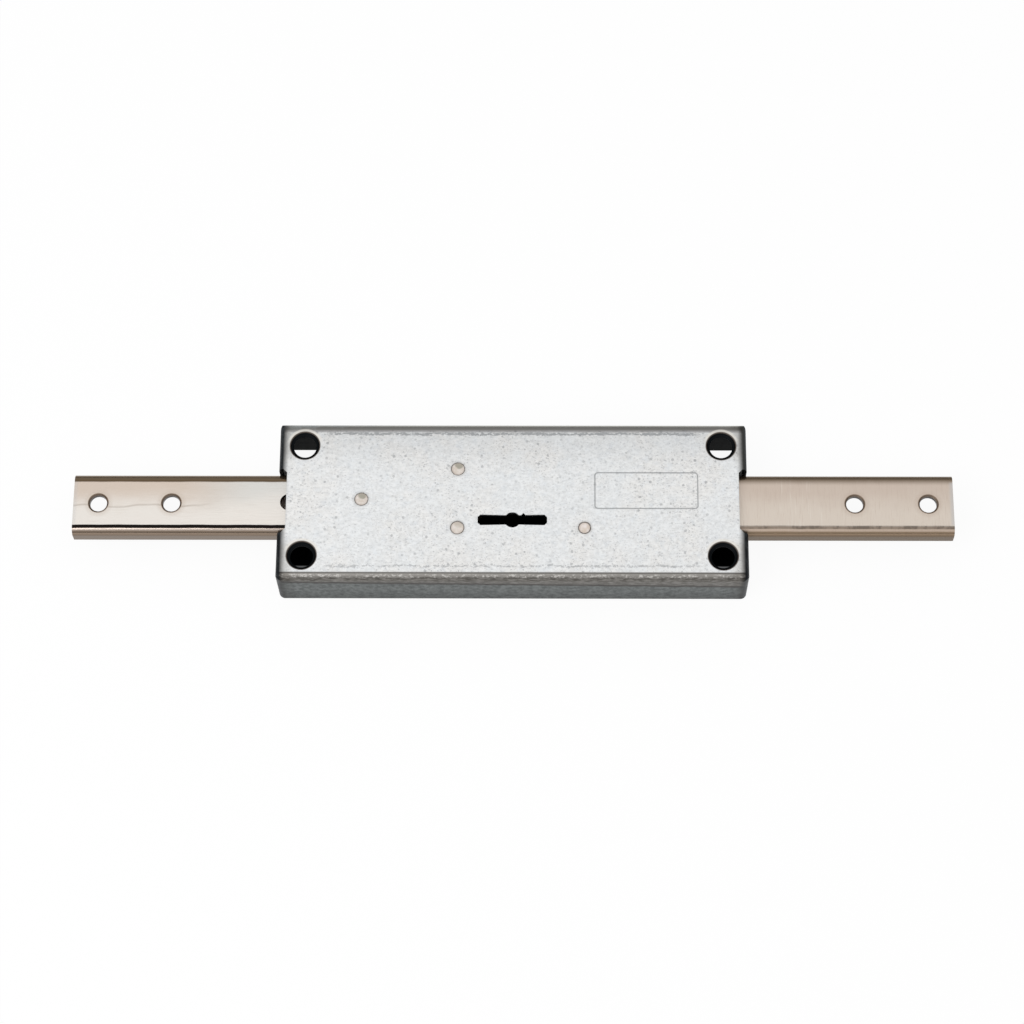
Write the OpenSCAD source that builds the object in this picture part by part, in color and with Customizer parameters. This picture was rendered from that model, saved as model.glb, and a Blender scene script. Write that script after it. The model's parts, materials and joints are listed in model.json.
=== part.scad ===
// Garage door lock, the thin kind with two opposed channel bolts and a double-bit key.
// It lies on its back with both bolts thrown: X runs along the bolts, Y across them, Z out of the face.
// Lengths are in millimetres, and the origin is in the middle of the case, on the back rim.

/* [Case] */
// Length of the folded case, along the bolts
case_l = 123.5; // [120:0.5:140]
// Width of the case, across the bolts
case_w = 44; // [43:0.5:50]
// Height of the case, from the back rim to the face
case_h = 15; // [14.5:0.25:18]
// Thickness of the case sheet
sheet_t = 1.5; // [1.2:0.1:1.8]
// Outer radius of the folded edges round the face
bend_r = 2; // [1.9:0.1:3]
// Outer radius of the four upright corners
corner_r = 1.6; // [0.8:0.1:2.4]
// Gap at each side of a bolt in the notch of the case's end
notch_gap = 0.4; // [0.2:0.05:0.8]
// How far each notch cuts into the face, from the end of the case
notch_depth = 2.25; // [2.1:0.05:4]
// Length of the slanted inner corners of each notch
notch_corner = 1; // [0.4:0.1:1.6]

/* [Fixing holes] */
// Diameter of the four corner holes, below their countersink
fix_d = 6; // [4:0.1:6.6]
// Distance between the corner holes along the bolts
fix_pitch_x = 110; // [104:0.5:111]
// Distance between the corner holes across the bolts
fix_pitch_y = 31; // [29:0.5:32]
// Width of the countersink round the corner holes
fix_sink = 1.05; // [0.3:0.05:1.2]

/* [Stamped field] */
// Length of the bare field that is stamped into the face
field_l = 27.3; // [20:0.1:30]
// Width of the stamped field
field_w = 10.4; // [6:0.1:14]
// Distance of the field's centre to the right of the middle
field_x = 35.15; // [32:0.05:38]
// Height of the field's centre above the middle
field_y = 2.8; // [0:0.1:4]
// Radius of the field's corners
field_r = 1; // [0.6:0.1:2]
// Width of the stamped line
field_line = 0.3; // [0.2:0.05:0.5]
// Depth of the stamped line
field_depth = 0.12; // [0.05:0.01:0.3]

/* [Keyhole] */
// Distance of the keyhole below the middle of the case
key_drop = 5.5; // [4.5:0.1:6.5]
// Whole width of the keyhole, which is also the width over the key's two bits
key_w = 18.2; // [16:0.1:19]
// Height of the keyhole at its ends
key_slot_h = 3; // [2.4:0.1:3.4]
// Height of the keyhole near its middle
key_waist_h = 2.6; // [2:0.1:3]
// Diameter of the keyhole's round middle, for the key's shank
key_shank_d = 4.3; // [3.6:0.1:5]
// Place of the small ward nick, to the right of the keyhole's middle
key_nick_x = 2.9; // [2.8:0.1:6]
// Width of the ward nick
key_nick_w = 1.5; // [0.8:0.1:2]

/* [Back plate] */
// Thickness of the plate that closes the back
back_t = 1.5; // [1:0.1:2]
// Gap between the back plate and the case walls
back_gap = 0.15; // [0.1:0.05:0.4]
// Length of the cut-out in each corner of the back plate
back_cut_l = 11; // [10:0.5:13]
// Half the width that is left of the back plate between its corner cut-outs
back_neck_y = 13.3; // [11:0.1:13.4]

/* [Bolts] */
// Outer width of the channel bolts
bolt_w = 17; // [16.4:0.1:17.4]
// Height of the channel bolts
bolt_h = 4.9; // [4.4:0.1:6.5]
// Thickness of the channel's sheet
bolt_t = 1.5; // [1.2:0.1:1.8]
// Outer radius of the channel's two bends
bolt_bend_r = 2.2; // [1.8:0.1:2.4]
// Length of each thrown bolt that stands out of the case
bolt_out = 54.1; // [45:0.05:65]
// Gap between the bolts and the inside of the face
web_gap = 0.75; // [0.6:0.05:1]
// Travel of each bolt for the whole throw
stroke = 15; // [12:0.5:15.5]
// Diameter of the two holes for the rods in each bolt, below their countersink
rod_hole_d = 4.5; // [3.5:0.1:5.5]
// Distance from a bolt's outer end to its first rod hole
rod_hole_end = 6.6; // [5:0.1:12]
// Distance between the two rod holes of a bolt
rod_hole_pitch = 19.3; // [10:0.1:25]
// Width of the countersink round the rod holes
rod_hole_sink = 0.4; // [0.2:0.05:0.9]

/* [Guides] */
// Distance of the guide pins from the ends of the case
guide_inset = 22.05; // [21:0.05:22.4]
// Height of the guide pins above the bolts' centre line
guide_y = 0.3; // [0:0.05:0.35]
// Width of the guide slots in the bolts
slot_w = 4.65; // [4.6:0.05:5]
// Length of the guide slot in the left bolt
left_slot_l = 24; // [20:0.1:30]
// Length of the guide slot in the right bolt
right_slot_l = 20.2; // [20:0.1:22]
// Diameter of the collars under the bolts' tails
collar_d = 6; // [5.2:0.1:8]

/* [Posts] */
// Diameter of the riveted ends that show in the face
post_end_d = 3.4; // [3:0.1:3.7]
// Diameter of the lever posts between the plates
post_d = 4.9; // [4.2:0.1:5]
// Distance of the lever posts to the left of the middle
post_x = 14.4; // [14:0.1:15]
// Height of the upper lever post above the middle
upper_post_y = 8.9; // [8.8:0.1:10]
// Distance of the lower lever post below the middle
lower_post_drop = 7.7; // [7:0.1:8.5]
// Gap round each riveted end in its hole
rivet_gap = 0.08; // [0.02:0.01:0.15]
// Width of the broken edges of the riveted ends and of their holes in the face
rivet_edge = 0.1; // [0.05:0.01:0.2]

/* [Rocker] */
// Distance of the rocker's pivot to the right of the middle
pivot_x = 18.9; // [18.8:0.1:19.2]
// Distance of the rocker's pivot below the middle
pivot_drop = 7.7; // [7.5:0.1:7.9]
// Diameter of the pivot's riveted end that shows in the face
pivot_end_d = 3; // [2.6:0.1:3.7]
// Diameter of the pivot's lower part, whose shoulder carries the rocker
pivot_seat_d = 5.6; // [5.4:0.1:6]
// Thickness of the rocker
rocker_t = 1.2; // [0.9:0.1:1.4]
// Radius of the rocker's rounded ends
rocker_end_r = 1.95; // [1.8:0.05:2.1]
// Diameter of the two pins that the rocker moves the tails with
rocker_pin_d = 2.2; // [1.8:0.1:2.4]

/* [Tails] */
// Thickness of the tail plates under the bolts
tail_t = 2; // [1.6:0.1:2.2]
// Length of each bolt past its guide pin, towards the middle of the case
tongue_l = 3.9; // [3.5:0.1:4.2]
// Diameter of the rivets that hold the tails to the bolts
tail_rivet_d = 2.5; // [2:0.1:2.8]
// Distance from the key's centre to the toothed edge of the left tail
talon_edge = 5.7; // [5.4:0.1:6.2]
// Width of a talon notch at its mouth
talon_w = 5.2; // [4:0.1:5.6]

/* [Levers] */
// Distance that each lever is lifted by the key
lift = 2.2; // [1.6:0.1:2.2]
// Gap between one lever and the next
lever_gap = 0.1; // [0.05:0.05:0.2]
// Diameter of the stump that the lever gates hold
stump_d = 3; // [2.4:0.1:3.2]
// Height of the stump above the middle
gate_y = 9; // [8.9:0.1:9.6]
// Width of each flat lever spring, along the lever's thickness
spring_w = 1.1; // [0.6:0.1:1.2]
// Thickness of the lever springs' strip
spring_t = 0.4; // [0.3:0.05:0.6]

/* [Hidden] */
$fn = 96;

// Cutters run past a face by this much
over = 1;
// Running gaps between pieces that slide or turn on each other
slide_gap = 0.15;
side_gap = 0.3;
bore_gap = 0.05;
// Narrowest strip of metal that is left beside a cut
strip = 1.45;

inner_l = case_l / 2 - sheet_t;
inner_w = case_w / 2 - sheet_t;
inner_h = case_h - sheet_t;
key_y = -key_drop;
key_bit_r = key_w / 2;

web_top = inner_h - web_gap;
web_bottom = web_top - bolt_t;
bolt_foot = web_top - bolt_h;
tail_foot = web_bottom - tail_t;
rocker_top = tail_foot - slide_gap;
rocker_foot = rocker_top - rocker_t;
notch_foot = bolt_foot - 0.25;
notch_w = bolt_w + 2 * notch_gap;
notch_x = case_l / 2 - notch_depth;

bolt_reach = case_l / 2 + bolt_out;
guide_x = case_l / 2 - guide_inset;
tongue_x = guide_x - tongue_l;
slot_in = guide_x - slot_w / 2 - 0.1;

lever_count = 4;
lever_foot = back_t + slide_gap;
lever_top = rocker_foot - 0.4;
lever_t = (lever_top - lever_foot - (lever_count - 1) * lever_gap) / lever_count;

// The rocker's ends just clear the long wall, and its pins travel as far as the bolts
pivot_y = -pivot_drop;
rocker_r = inner_w - pivot_drop - rocker_end_r - 0.25;
swing = asin(stroke / 2 / rocker_r);
pin_rest_rise = rocker_r * cos(swing);
// A fork is wider than its pin by what the pin's arc adds to a straight travel
arc_slip = rocker_r * sin(swing * 0.574) - stroke / 2 * 0.574;
fork_w = rocker_pin_d + 2 * (arc_slip + 0.06);

channel_inner_r = bolt_bend_r - bolt_t + 0.1;
pad_w = bolt_w - 2 * bolt_t - 2 * channel_inner_r - 0.1;
pad_out = guide_x + stroke + 3.3;
left_pad_in = tongue_x + 0.2;
right_pad_in = left_pad_in + 10.2;
tongue_w = 10.8;
left_fork_x = pivot_x - stroke / 2;
right_fork_x = pivot_x + stroke / 2;
rivet_y = (slot_w / 2 + pad_w / 2) / 2 + 0.05;
rivet_head_d = tail_rivet_d + 1.2;
// The guide pins run in their slots, between the heads of the tails' rivets
guide_d = 2 * min(slot_w / 2 - slide_gap, rivet_y - rivet_head_d / 2 - guide_y - slide_gap);

lever_left = -post_x - post_d / 2 - slide_gap - strip;
lever_right = pivot_x + pivot_seat_d / 2 + slide_gap + strip;
lever_head = upper_post_y + lift + post_d / 2 + slide_gap + strip;
lever_heel = -inner_w + side_gap + lift;
belly_rise = [8.9, 7.6, 8.3, 7];

// Shapes in the plane

module rounded_box_outline(l, w, r) {
    square([l - 2 * r, w], center = true);
    square([l, w - 2 * r], center = true);
    for (x = [-1, 1], y = [-1, 1])
        translate([x * (l / 2 - r), y * (w / 2 - r)])
            circle(r);
}

// A section with a flat foot and two rounded upper corners
module arched_outline(w, h, r) {
    translate([-w / 2, 0])
        square([w, h - r]);
    translate([-w / 2 + r, 0])
        square([w - 2 * r, h]);
    for (x = [-1, 1])
        translate([x * (w / 2 - r), h - r])
            circle(r);
}

// A slot with round ends whose outermost points are at x1 and x2
module slot_outline(x1, x2, w) {
    translate([x1 + w / 2, -w / 2])
        square([x2 - x1 - w, w]);
    for (x = [x1 + w / 2, x2 - w / 2])
        translate([x, 0])
            circle(w / 2);
}

// A slot that lets a post of diameter d move up by rise
module post_slot_outline(d, rise) {
    w = d + 2 * slide_gap;
    translate([-w / 2, 0])
        square([w, rise]);
    for (y = [0, rise])
        translate([0, y])
            circle(w / 2);
}

// The keyhole: two flared bit slots, a round middle and a ward nick
module keyhole_outline() {
    end_x = key_w / 2;
    end_y = key_slot_h / 2;
    waist_y = key_waist_h / 2;
    end_cut = 0.7;
    polygon([
        [-end_x, -end_y + end_cut], [-end_x + end_cut, -end_y], [0, -waist_y], [end_x - end_cut, -end_y],
        [end_x, -end_y + end_cut], [end_x, end_y - end_cut], [end_x - end_cut, end_y], [0, waist_y],
        [-end_x + end_cut, end_y], [-end_x, end_y - end_cut]
    ]);
    circle(d = key_shank_d);
    translate([key_nick_x, waist_y - 0.1])
        polygon([[-key_nick_w / 2, 0], [key_nick_w / 2, 0], [0, 0.75]]);
}

// Case

module folded_block(l, w, h, r) {
    intersection() {
        rotate([90, 0, 0])
            translate([0, 0, -w / 2])
                linear_extrude(w)
                    arched_outline(l, h, r);
        rotate([90, 0, 90])
            translate([0, 0, -l / 2])
                linear_extrude(l)
                    arched_outline(w, h, r);
    }
}

// A hole down through a sheet whose outer face is at top, with its rim broken by edge
module rimmed_hole(d, edge, top, sheet) {
    translate([0, 0, top - sheet - over])
        cylinder(d = d, h = sheet + 2 * over);
    translate([0, 0, top - edge])
        cylinder(r1 = d / 2, r2 = d / 2 + edge + over, h = edge + over);
}

// A notch in the right end, open outwards and at the face, with slanted inner corners
module end_notch() {
    half = notch_w / 2;
    out = case_l / 2 + over;
    translate([0, 0, notch_foot])
        linear_extrude(case_h)
            polygon([
                [notch_x, -half + notch_corner], [notch_x + notch_corner, -half], [out, -half],
                [out, half], [notch_x + notch_corner, half], [notch_x, half - notch_corner]
            ]);
}

module stamped_line() {
    translate([field_x, field_y, case_h - field_depth])
        linear_extrude(field_depth + over)
            difference() {
                rounded_box_outline(field_l, field_w, field_r);
                rounded_box_outline(field_l - 2 * field_line, field_w - 2 * field_line, field_r - field_line);
            }
}

module case_cover() {
    color("#d9dcdd")
    difference() {
        intersection() {
            folded_block(case_l, case_w, case_h, bend_r);
            linear_extrude(case_h)
                rounded_box_outline(case_l, case_w, corner_r);
        }
        translate([0, 0, -over])
            folded_block(2 * inner_l, 2 * inner_w, inner_h + over, bend_r - sheet_t);
        for (x = [-1, 1], y = [-1, 1])
            translate([x * fix_pitch_x / 2, y * fix_pitch_y / 2, 0])
                rimmed_hole(fix_d, fix_sink, case_h, sheet_t);
        translate([0, key_y, inner_h - over])
            linear_extrude(sheet_t + 2 * over)
                keyhole_outline();
        for (p = [[-guide_x, guide_y], [-post_x, upper_post_y], [-post_x, -lower_post_drop]])
            translate([p[0], p[1], 0])
                rimmed_hole(post_end_d + 2 * rivet_gap, rivet_edge, case_h, sheet_t);
        translate([pivot_x, pivot_y, 0])
            rimmed_hole(pivot_end_d + 2 * rivet_gap, rivet_edge, case_h, sheet_t);
        end_notch();
        mirror([1, 0, 0])
            end_notch();
        stamped_line();
    }
}

module back_plate() {
    half_l = inner_l - back_gap;
    half_w = inner_w - back_gap;
    color("#b9bcbc")
    difference() {
        translate([-half_l, -half_w, 0])
            cube([2 * half_l, 2 * half_w, back_t]);
        for (x = [-1, 1], y = [-1, 1])
            translate([x * half_l, y * case_w / 2, back_t / 2])
                cube([2 * back_cut_l, case_w - 2 * back_neck_y, 2 * back_t], center = true);
        for (p = [[-guide_x, guide_y], [guide_x, guide_y], [-post_x, upper_post_y],
                [-post_x, -lower_post_drop], [pivot_x, pivot_y]])
            translate([p[0], p[1], -over])
                cylinder(d = post_end_d + 2 * rivet_gap, h = back_t + 2 * over);
        translate([0, key_y, -over])
            cylinder(d = key_shank_d, h = back_t + 2 * over);
    }
}

// Posts and pins that stand on the back plate

module stepped_post(foot_d, waist_d, waist_top, neck_d, neck_top, end_d, end_top) {
    cylinder(d = foot_d, h = back_t);
    translate([0, 0, back_t])
        cylinder(d = waist_d, h = waist_top - back_t);
    translate([0, 0, waist_top])
        cylinder(d = neck_d, h = neck_top - waist_top);
    translate([0, 0, neck_top])
        cylinder(d = end_d, h = end_top - rivet_edge - neck_top);
    translate([0, 0, end_top - rivet_edge])
        cylinder(r1 = end_d / 2, r2 = end_d / 2 - rivet_edge, h = rivet_edge);
}

module left_guide_pin() {
    color("#d8cdbd")
    translate([-guide_x, guide_y, 0])
        stepped_post(post_end_d, collar_d, tail_foot - slide_gap, guide_d, inner_h, post_end_d, case_h);
}

module right_guide_pin() {
    color("#d8cdbd")
    translate([guide_x, guide_y, 0])
        stepped_post(post_end_d, collar_d, tail_foot - slide_gap, guide_d, web_bottom, guide_d,
            inner_h - slide_gap);
}

module lever_post(y) {
    translate([-post_x, y, 0])
        stepped_post(post_end_d, post_d, lever_top, post_d, inner_h, post_end_d, case_h);
}

module upper_lever_post() {
    color("#d8cdbd")
    lever_post(upper_post_y);
}

module lower_lever_post() {
    color("#d8cdbd")
    lever_post(-lower_post_drop);
}

module rocker_pivot() {
    color("#e4dfd5")
    translate([pivot_x, pivot_y, 0])
        stepped_post(post_end_d, pivot_seat_d, rocker_foot - bore_gap, post_d, inner_h, pivot_end_d, case_h);
}

// Bolts and their tails

module channel_outline() {
    difference() {
        arched_outline(bolt_w, bolt_h, bolt_bend_r);
        translate([0, -over])
            arched_outline(bolt_w - 2 * bolt_t, bolt_h - bolt_t + over, channel_inner_r);
    }
}

module channel(x1, x2) {
    translate([x1, 0, bolt_foot])
        rotate([90, 0, 90])
            linear_extrude(x2 - x1)
                channel_outline();
}

module rod_holes(side) {
    for (i = [0, 1])
        translate([side * (bolt_reach - rod_hole_end - i * rod_hole_pitch), 0, 0])
            rimmed_hole(rod_hole_d, rod_hole_sink, web_top, bolt_t);
}

module rivet_holes(side, xs) {
    for (x = xs, y = [-1, 1])
        translate([side * x, y * rivet_y, tail_foot - over])
            cylinder(d = tail_rivet_d + 2 * rivet_gap, h = tail_t + bolt_t + 2 * over);
}

left_rivet_xs = [left_pad_in + 4.5, pad_out - 3];
right_rivet_xs = [right_pad_in + 3, pad_out - 3];

module left_slot() {
    translate([0, guide_y, tail_foot - over])
        linear_extrude(tail_t + bolt_t + 2 * over)
            slot_outline(-slot_in - left_slot_l, -slot_in, slot_w);
}

module right_slot() {
    translate([0, guide_y, tail_foot - over])
        linear_extrude(tail_t + bolt_t + 2 * over)
            slot_outline(slot_in, slot_in + right_slot_l, slot_w);
}

module left_bolt() {
    color("#dcd6cb")
    difference() {
        channel(-bolt_reach, -tongue_x);
        rod_holes(-1);
        left_slot();
        rivet_holes(-1, left_rivet_xs);
    }
}

module right_bolt() {
    color("#cdbfae")
    difference() {
        channel(tongue_x, bolt_reach);
        rod_holes(1);
        right_slot();
        rivet_holes(1, right_rivet_xs);
        for (side = [-1, 1])
            translate([tongue_x - over, side * (tongue_w + bolt_w) / 2 - bolt_w / 2, bolt_foot - over])
                cube([right_pad_in - tongue_x + over, bolt_w, bolt_h + 2 * over]);
    }
}

// A notch that the key's bit pushes in, open downwards
module talon_notch() {
    mouth = talon_edge + key_y;
    top = key_bit_r + key_y + 0.6;
    polygon([
        [-talon_w / 2 - 0.4, mouth - over], [-talon_w / 2, mouth], [-talon_w / 2 + 0.5, top],
        [talon_w / 2 - 0.5, top], [talon_w / 2, mouth], [talon_w / 2 + 0.4, mouth - over]
    ]);
}

// A slot for a rocker pin, open downwards, with a round head
module fork_cut(x, foot, head) {
    translate([x - fork_w / 2, foot - over])
        square([fork_w, head - foot + over]);
    translate([x, head])
        circle(fork_w / 2);
}

module left_tail() {
    arm_foot = talon_edge + key_y;
    arm_head = upper_post_y - post_d / 2 - 2 * side_gap;
    fork_foot = pivot_y + pin_rest_rise - rocker_pin_d / 2 - side_gap;
    fork_head = pivot_y + rocker_r + rocker_pin_d / 2 + side_gap - fork_w / 2;
    fork_side = fork_w / 2 + strip;
    color("#a9a49a")
    translate([0, 0, tail_foot])
        difference() {
            linear_extrude(tail_t)
                difference() {
                    union() {
                        translate([-pad_out, -pad_w / 2])
                            square([pad_out - left_pad_in, pad_w]);
                        translate([-left_pad_in - over, arm_foot])
                            square([left_pad_in + over + left_fork_x + fork_side, arm_head - arm_foot]);
                        translate([left_fork_x - fork_side, fork_foot])
                            square([2 * fork_side, arm_head - fork_foot]);
                        translate([-stroke / 2 - stump_d / 2 - 0.8, arm_head - over])
                            square([stump_d + 1.6, gate_y - arm_head + over]);
                        translate([-stroke / 2, gate_y])
                            circle(stump_d / 2 + 0.8);
                    }
                    for (i = [0, 1])
                        translate([-stroke / 4 - i * stroke / 2, 0])
                            talon_notch();
                    fork_cut(left_fork_x, fork_foot, fork_head);
                    translate([-stroke / 2, gate_y])
                        circle(d = stump_d - 0.6 + 2 * bore_gap);
                }
            translate([0, 0, -tail_foot])
                left_slot();
            translate([0, 0, -tail_foot])
                rivet_holes(-1, left_rivet_xs);
        }
}

module right_tail() {
    neck_in = pivot_x + pivot_seat_d / 2 + stroke + side_gap - 0.2;
    neck_out = right_pad_in - 0.4;
    neck_head = guide_y - collar_d / 2 + 0.1;
    arm_foot = -inner_w + 0.9;
    arm_head = pivot_y - pin_rest_rise + rocker_pin_d / 2 + side_gap + strip;
    fork_head = pivot_y - pin_rest_rise + rocker_pin_d / 2 + side_gap - fork_w / 2;
    color("#a9a49a")
    translate([0, 0, tail_foot])
        difference() {
            linear_extrude(tail_t)
                difference() {
                    union() {
                        translate([right_pad_in, -pad_w / 2])
                            square([pad_out - right_pad_in, pad_w]);
                        translate([neck_in, -pad_w / 2])
                            square([right_pad_in + over - neck_in, neck_head + pad_w / 2]);
                        translate([neck_in, arm_foot])
                            square([neck_out - neck_in, neck_head - arm_foot]);
                        translate([right_fork_x - fork_w / 2 - strip, arm_foot])
                            square([neck_out - right_fork_x + fork_w / 2 + strip, arm_head - arm_foot]);
                    }
                    fork_cut(right_fork_x, arm_foot, fork_head);
                }
            translate([0, 0, -tail_foot])
                right_slot();
            translate([0, 0, -tail_foot])
                rivet_holes(1, right_rivet_xs);
        }
}

module tail_rivets(side, xs) {
    head_h = 0.4;
    for (x = xs, y = [-1, 1])
        translate([side * x, y * rivet_y, 0]) {
            translate([0, 0, tail_foot])
                cylinder(d = tail_rivet_d, h = tail_t + bolt_t);
            translate([0, 0, web_top])
                cylinder(d = rivet_head_d, h = head_h);
        }
}

module left_tail_rivets() {
    color("#c4bdb0")
    tail_rivets(-1, left_rivet_xs);
}

module right_tail_rivets() {
    color("#c4bdb0")
    tail_rivets(1, right_rivet_xs);
}

module stump() {
    color("#c8b98a")
    translate([-stroke / 2, gate_y, 0]) {
        translate([0, 0, lever_foot])
            cylinder(d = stump_d, h = tail_foot - lever_foot);
        translate([0, 0, tail_foot])
            cylinder(d = stump_d - 0.6, h = tail_t);
    }
}

// Rocker, drawn along Y and turned to its place

module rocker() {
    color("#b0aca4")
    translate([pivot_x, pivot_y, rocker_foot])
        rotate([0, 0, swing])
            linear_extrude(rocker_t)
                difference() {
                    union() {
                        circle(d = post_d + 2 * bore_gap + 3);
                        square([2 * rocker_end_r, 2 * rocker_r], center = true);
                        for (side = [-1, 1])
                            translate([0, side * rocker_r])
                                circle(rocker_end_r);
                    }
                    circle(d = post_d + 2 * bore_gap);
                    for (side = [-1, 1])
                        translate([0, side * rocker_r])
                            circle(d = rocker_pin_d + 2 * rivet_gap);
                }
}

module rocker_pin(side) {
    translate([pivot_x, pivot_y, rocker_foot])
        rotate([0, 0, swing])
            translate([0, side * rocker_r, 0])
                cylinder(d = rocker_pin_d, h = web_bottom - slide_gap - rocker_foot);
}

module rocker_upper_pin() {
    color("#cfc6b4")
    rocker_pin(1);
}

module rocker_lower_pin() {
    color("#cfc6b4")
    rocker_pin(-1);
}

// Levers, lifted as the key holds them, so that the stump can run along their gates

function lever_z(i) = lever_foot + (i - 1) * (lever_t + lever_gap);

module gate_outline() {
    w = stump_d + 2 * slide_gap + 0.2;
    translate([-(stroke + w) / 2, gate_y - w / 2])
        square([stroke + w, w]);
    for (x = [-stroke / 2, 0, stroke / 2])
        translate([x - w / 2, gate_y - w / 2])
            square([w, lift + w]);
}

// The window that the key turns in: its upper edge is the belly that the bit lifts
module key_window_outline(belly) {
    window_r = key_bit_r + 0.5;
    belly_w = 7;
    difference() {
        union() {
            translate([0, key_y])
                circle(window_r);
            translate([-window_r, key_y])
                square([2 * window_r, lift]);
            translate([0, key_y + lift])
                circle(window_r - 0.3);
        }
        translate([-belly_w / 2, key_y + belly])
            square([belly_w, window_r]);
    }
}

module lever(i) {
    translate([0, 0, lever_z(i)])
        linear_extrude(lever_t)
            difference() {
                translate([lever_left, lever_heel])
                    square([lever_right - lever_left, lever_head - lever_heel]);
                key_window_outline(belly_rise[i - 1]);
                gate_outline();
                translate([-post_x, upper_post_y])
                    post_slot_outline(post_d, lift);
                translate([-post_x, -lower_post_drop])
                    post_slot_outline(post_d, lift);
                translate([pivot_x, pivot_y])
                    post_slot_outline(pivot_seat_d, lift);
            }
}

// A flat strip that bows from its foot on the lever up to the long wall
module lever_spring(i) {
    side = i % 2 == 0 ? 0 : 1;
    foot_half = 1.6;
    run = 2 * post_x - 2;
    rise = inner_w - lever_head - 2 * spring_t - 0.1;
    bow_r = (run * run + rise * rise) / (2 * rise);
    first = asin(foot_half / bow_r);
    last = asin(run / bow_r);
    steps = 12;
    function bow(r) = [
        for (k = [0:steps])
            let (a = first + (last - first) * k / steps)
                [post_x - bow_r * sin(a), lever_head + spring_t + bow_r - r * cos(a)]
    ];
    under = bow(bow_r);
    upper = bow(bow_r - spring_t);
    foot = [
        [post_x + foot_half, upper[0][1]],
        [post_x + foot_half, lever_head],
        [post_x - foot_half, lever_head]
    ];
    translate([0, 0, lever_z(i) + (lever_t - spring_w) / 2])
        linear_extrude(spring_w)
            mirror([side, 0])
                polygon(concat(foot, under, [for (k = [steps:-1:0]) upper[k]]));
}

module lever_1() {
    color("#c9ad6a")
    lever(1);
}

module lever_2() {
    color("#c9ad6a")
    lever(2);
}

module lever_3() {
    color("#c9ad6a")
    lever(3);
}

module lever_4() {
    color("#c9ad6a")
    lever(4);
}

module lever_spring_1() {
    color("#8f8a80")
    lever_spring(1);
}

module lever_spring_2() {
    color("#8f8a80")
    lever_spring(2);
}

module lever_spring_3() {
    color("#8f8a80")
    lever_spring(3);
}

module lever_spring_4() {
    color("#8f8a80")
    lever_spring(4);
}

case_cover();
back_plate();
left_guide_pin();
right_guide_pin();
upper_lever_post();
lower_lever_post();
rocker_pivot();
left_bolt();
left_tail();
left_tail_rivets();
stump();
right_bolt();
right_tail();
right_tail_rivets();
rocker();
rocker_upper_pin();
rocker_lower_pin();
lever_1();
lever_2();
lever_3();
lever_4();
lever_spring_1();
lever_spring_2();
lever_spring_3();
lever_spring_4();
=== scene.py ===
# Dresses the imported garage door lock: zinc-coated case, nickel-plated channel bolts, riveted pin ends.
import json
import math

import bpy
import numpy as np
from mathutils import Matrix, Vector


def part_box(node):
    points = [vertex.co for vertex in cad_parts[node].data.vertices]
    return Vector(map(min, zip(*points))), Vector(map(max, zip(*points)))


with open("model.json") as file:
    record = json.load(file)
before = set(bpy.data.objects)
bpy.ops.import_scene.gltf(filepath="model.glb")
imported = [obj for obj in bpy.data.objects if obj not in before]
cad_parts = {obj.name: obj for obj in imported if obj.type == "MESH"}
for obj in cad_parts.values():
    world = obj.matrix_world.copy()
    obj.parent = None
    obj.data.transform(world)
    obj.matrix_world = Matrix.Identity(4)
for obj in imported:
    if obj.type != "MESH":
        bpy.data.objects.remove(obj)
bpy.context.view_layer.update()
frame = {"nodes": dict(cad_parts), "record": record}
print("frame loaded:", len(frame["nodes"]), "nodes")

mm = 0.001


# Places that the materials need, all read from the frame, in millimetres

def boxInMm(nodeName):
    low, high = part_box(nodeName)
    return np.array(low) / mm, np.array(high) / mm


def centreInMm(nodeName):
    low, high = boxInMm(nodeName)
    return (low + high) / 2


notchGap = 0.25
caseHalfLength, caseHalfWidth, caseHeight = boxInMm("case_cover")[1]
boltLow, boltHigh = boxInMm("right_bolt")
boltEnd, boltHalfWidth, boltTop = boltHigh
notchFoot = boltLow[2] - notchGap
mounts = {m["name"]: m for m in frame["record"]["mounts"]}


# Small helpers that wire a material's nodes

def newMaterial(name):
    material = bpy.data.materials.new(name)
    material.use_nodes = True
    tree = material.node_tree
    tree.nodes.clear()
    output = tree.nodes.new("ShaderNodeOutputMaterial")
    shader = tree.nodes.new("ShaderNodeBsdfPrincipled")
    tree.links.new(shader.outputs["BSDF"], output.inputs["Surface"])
    return material, tree, shader


# Links value into the socket if it is an output, and otherwise writes it there
def feed(tree, socket, value):
    if isinstance(value, bpy.types.NodeSocket):
        tree.links.new(value, socket)
    elif isinstance(value, (tuple, list)) and len(value) == 3 and socket.type == "RGBA":
        socket.default_value = (*value, 1)
    else:
        socket.default_value = value


def coordsInMm(tree, stretch=(1, 1, 1)):
    coords = tree.nodes.new("ShaderNodeTexCoord")
    scaled = tree.nodes.new("ShaderNodeVectorMath")
    scaled.operation = "MULTIPLY"
    tree.links.new(coords.outputs["Object"], scaled.inputs[0])
    scaled.inputs[1].default_value = tuple(s / mm for s in stretch)
    return scaled.outputs[0]


def splitAxes(tree, vector):
    parts = tree.nodes.new("ShaderNodeSeparateXYZ")
    tree.links.new(vector, parts.inputs[0])
    return parts.outputs


def calc(tree, operation, a, b=0.0, c=0.0):
    node = tree.nodes.new("ShaderNodeMath")
    node.operation = operation
    for socket, value in zip(node.inputs, (a, b, c)):
        feed(tree, socket, value)
    return node.outputs[0]


def times(tree, first, *others):
    for other in others:
        first = calc(tree, "MULTIPLY", first, other)
    return first


def sizeOf(tree, value):
    return calc(tree, "ABSOLUTE", value)


# Turns a noise, which goes from 0 to 1, into one that goes from -reach to reach
def centred(tree, value, reach):
    return calc(tree, "MULTIPLY_ADD", value, 2 * reach, -reach)


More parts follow.
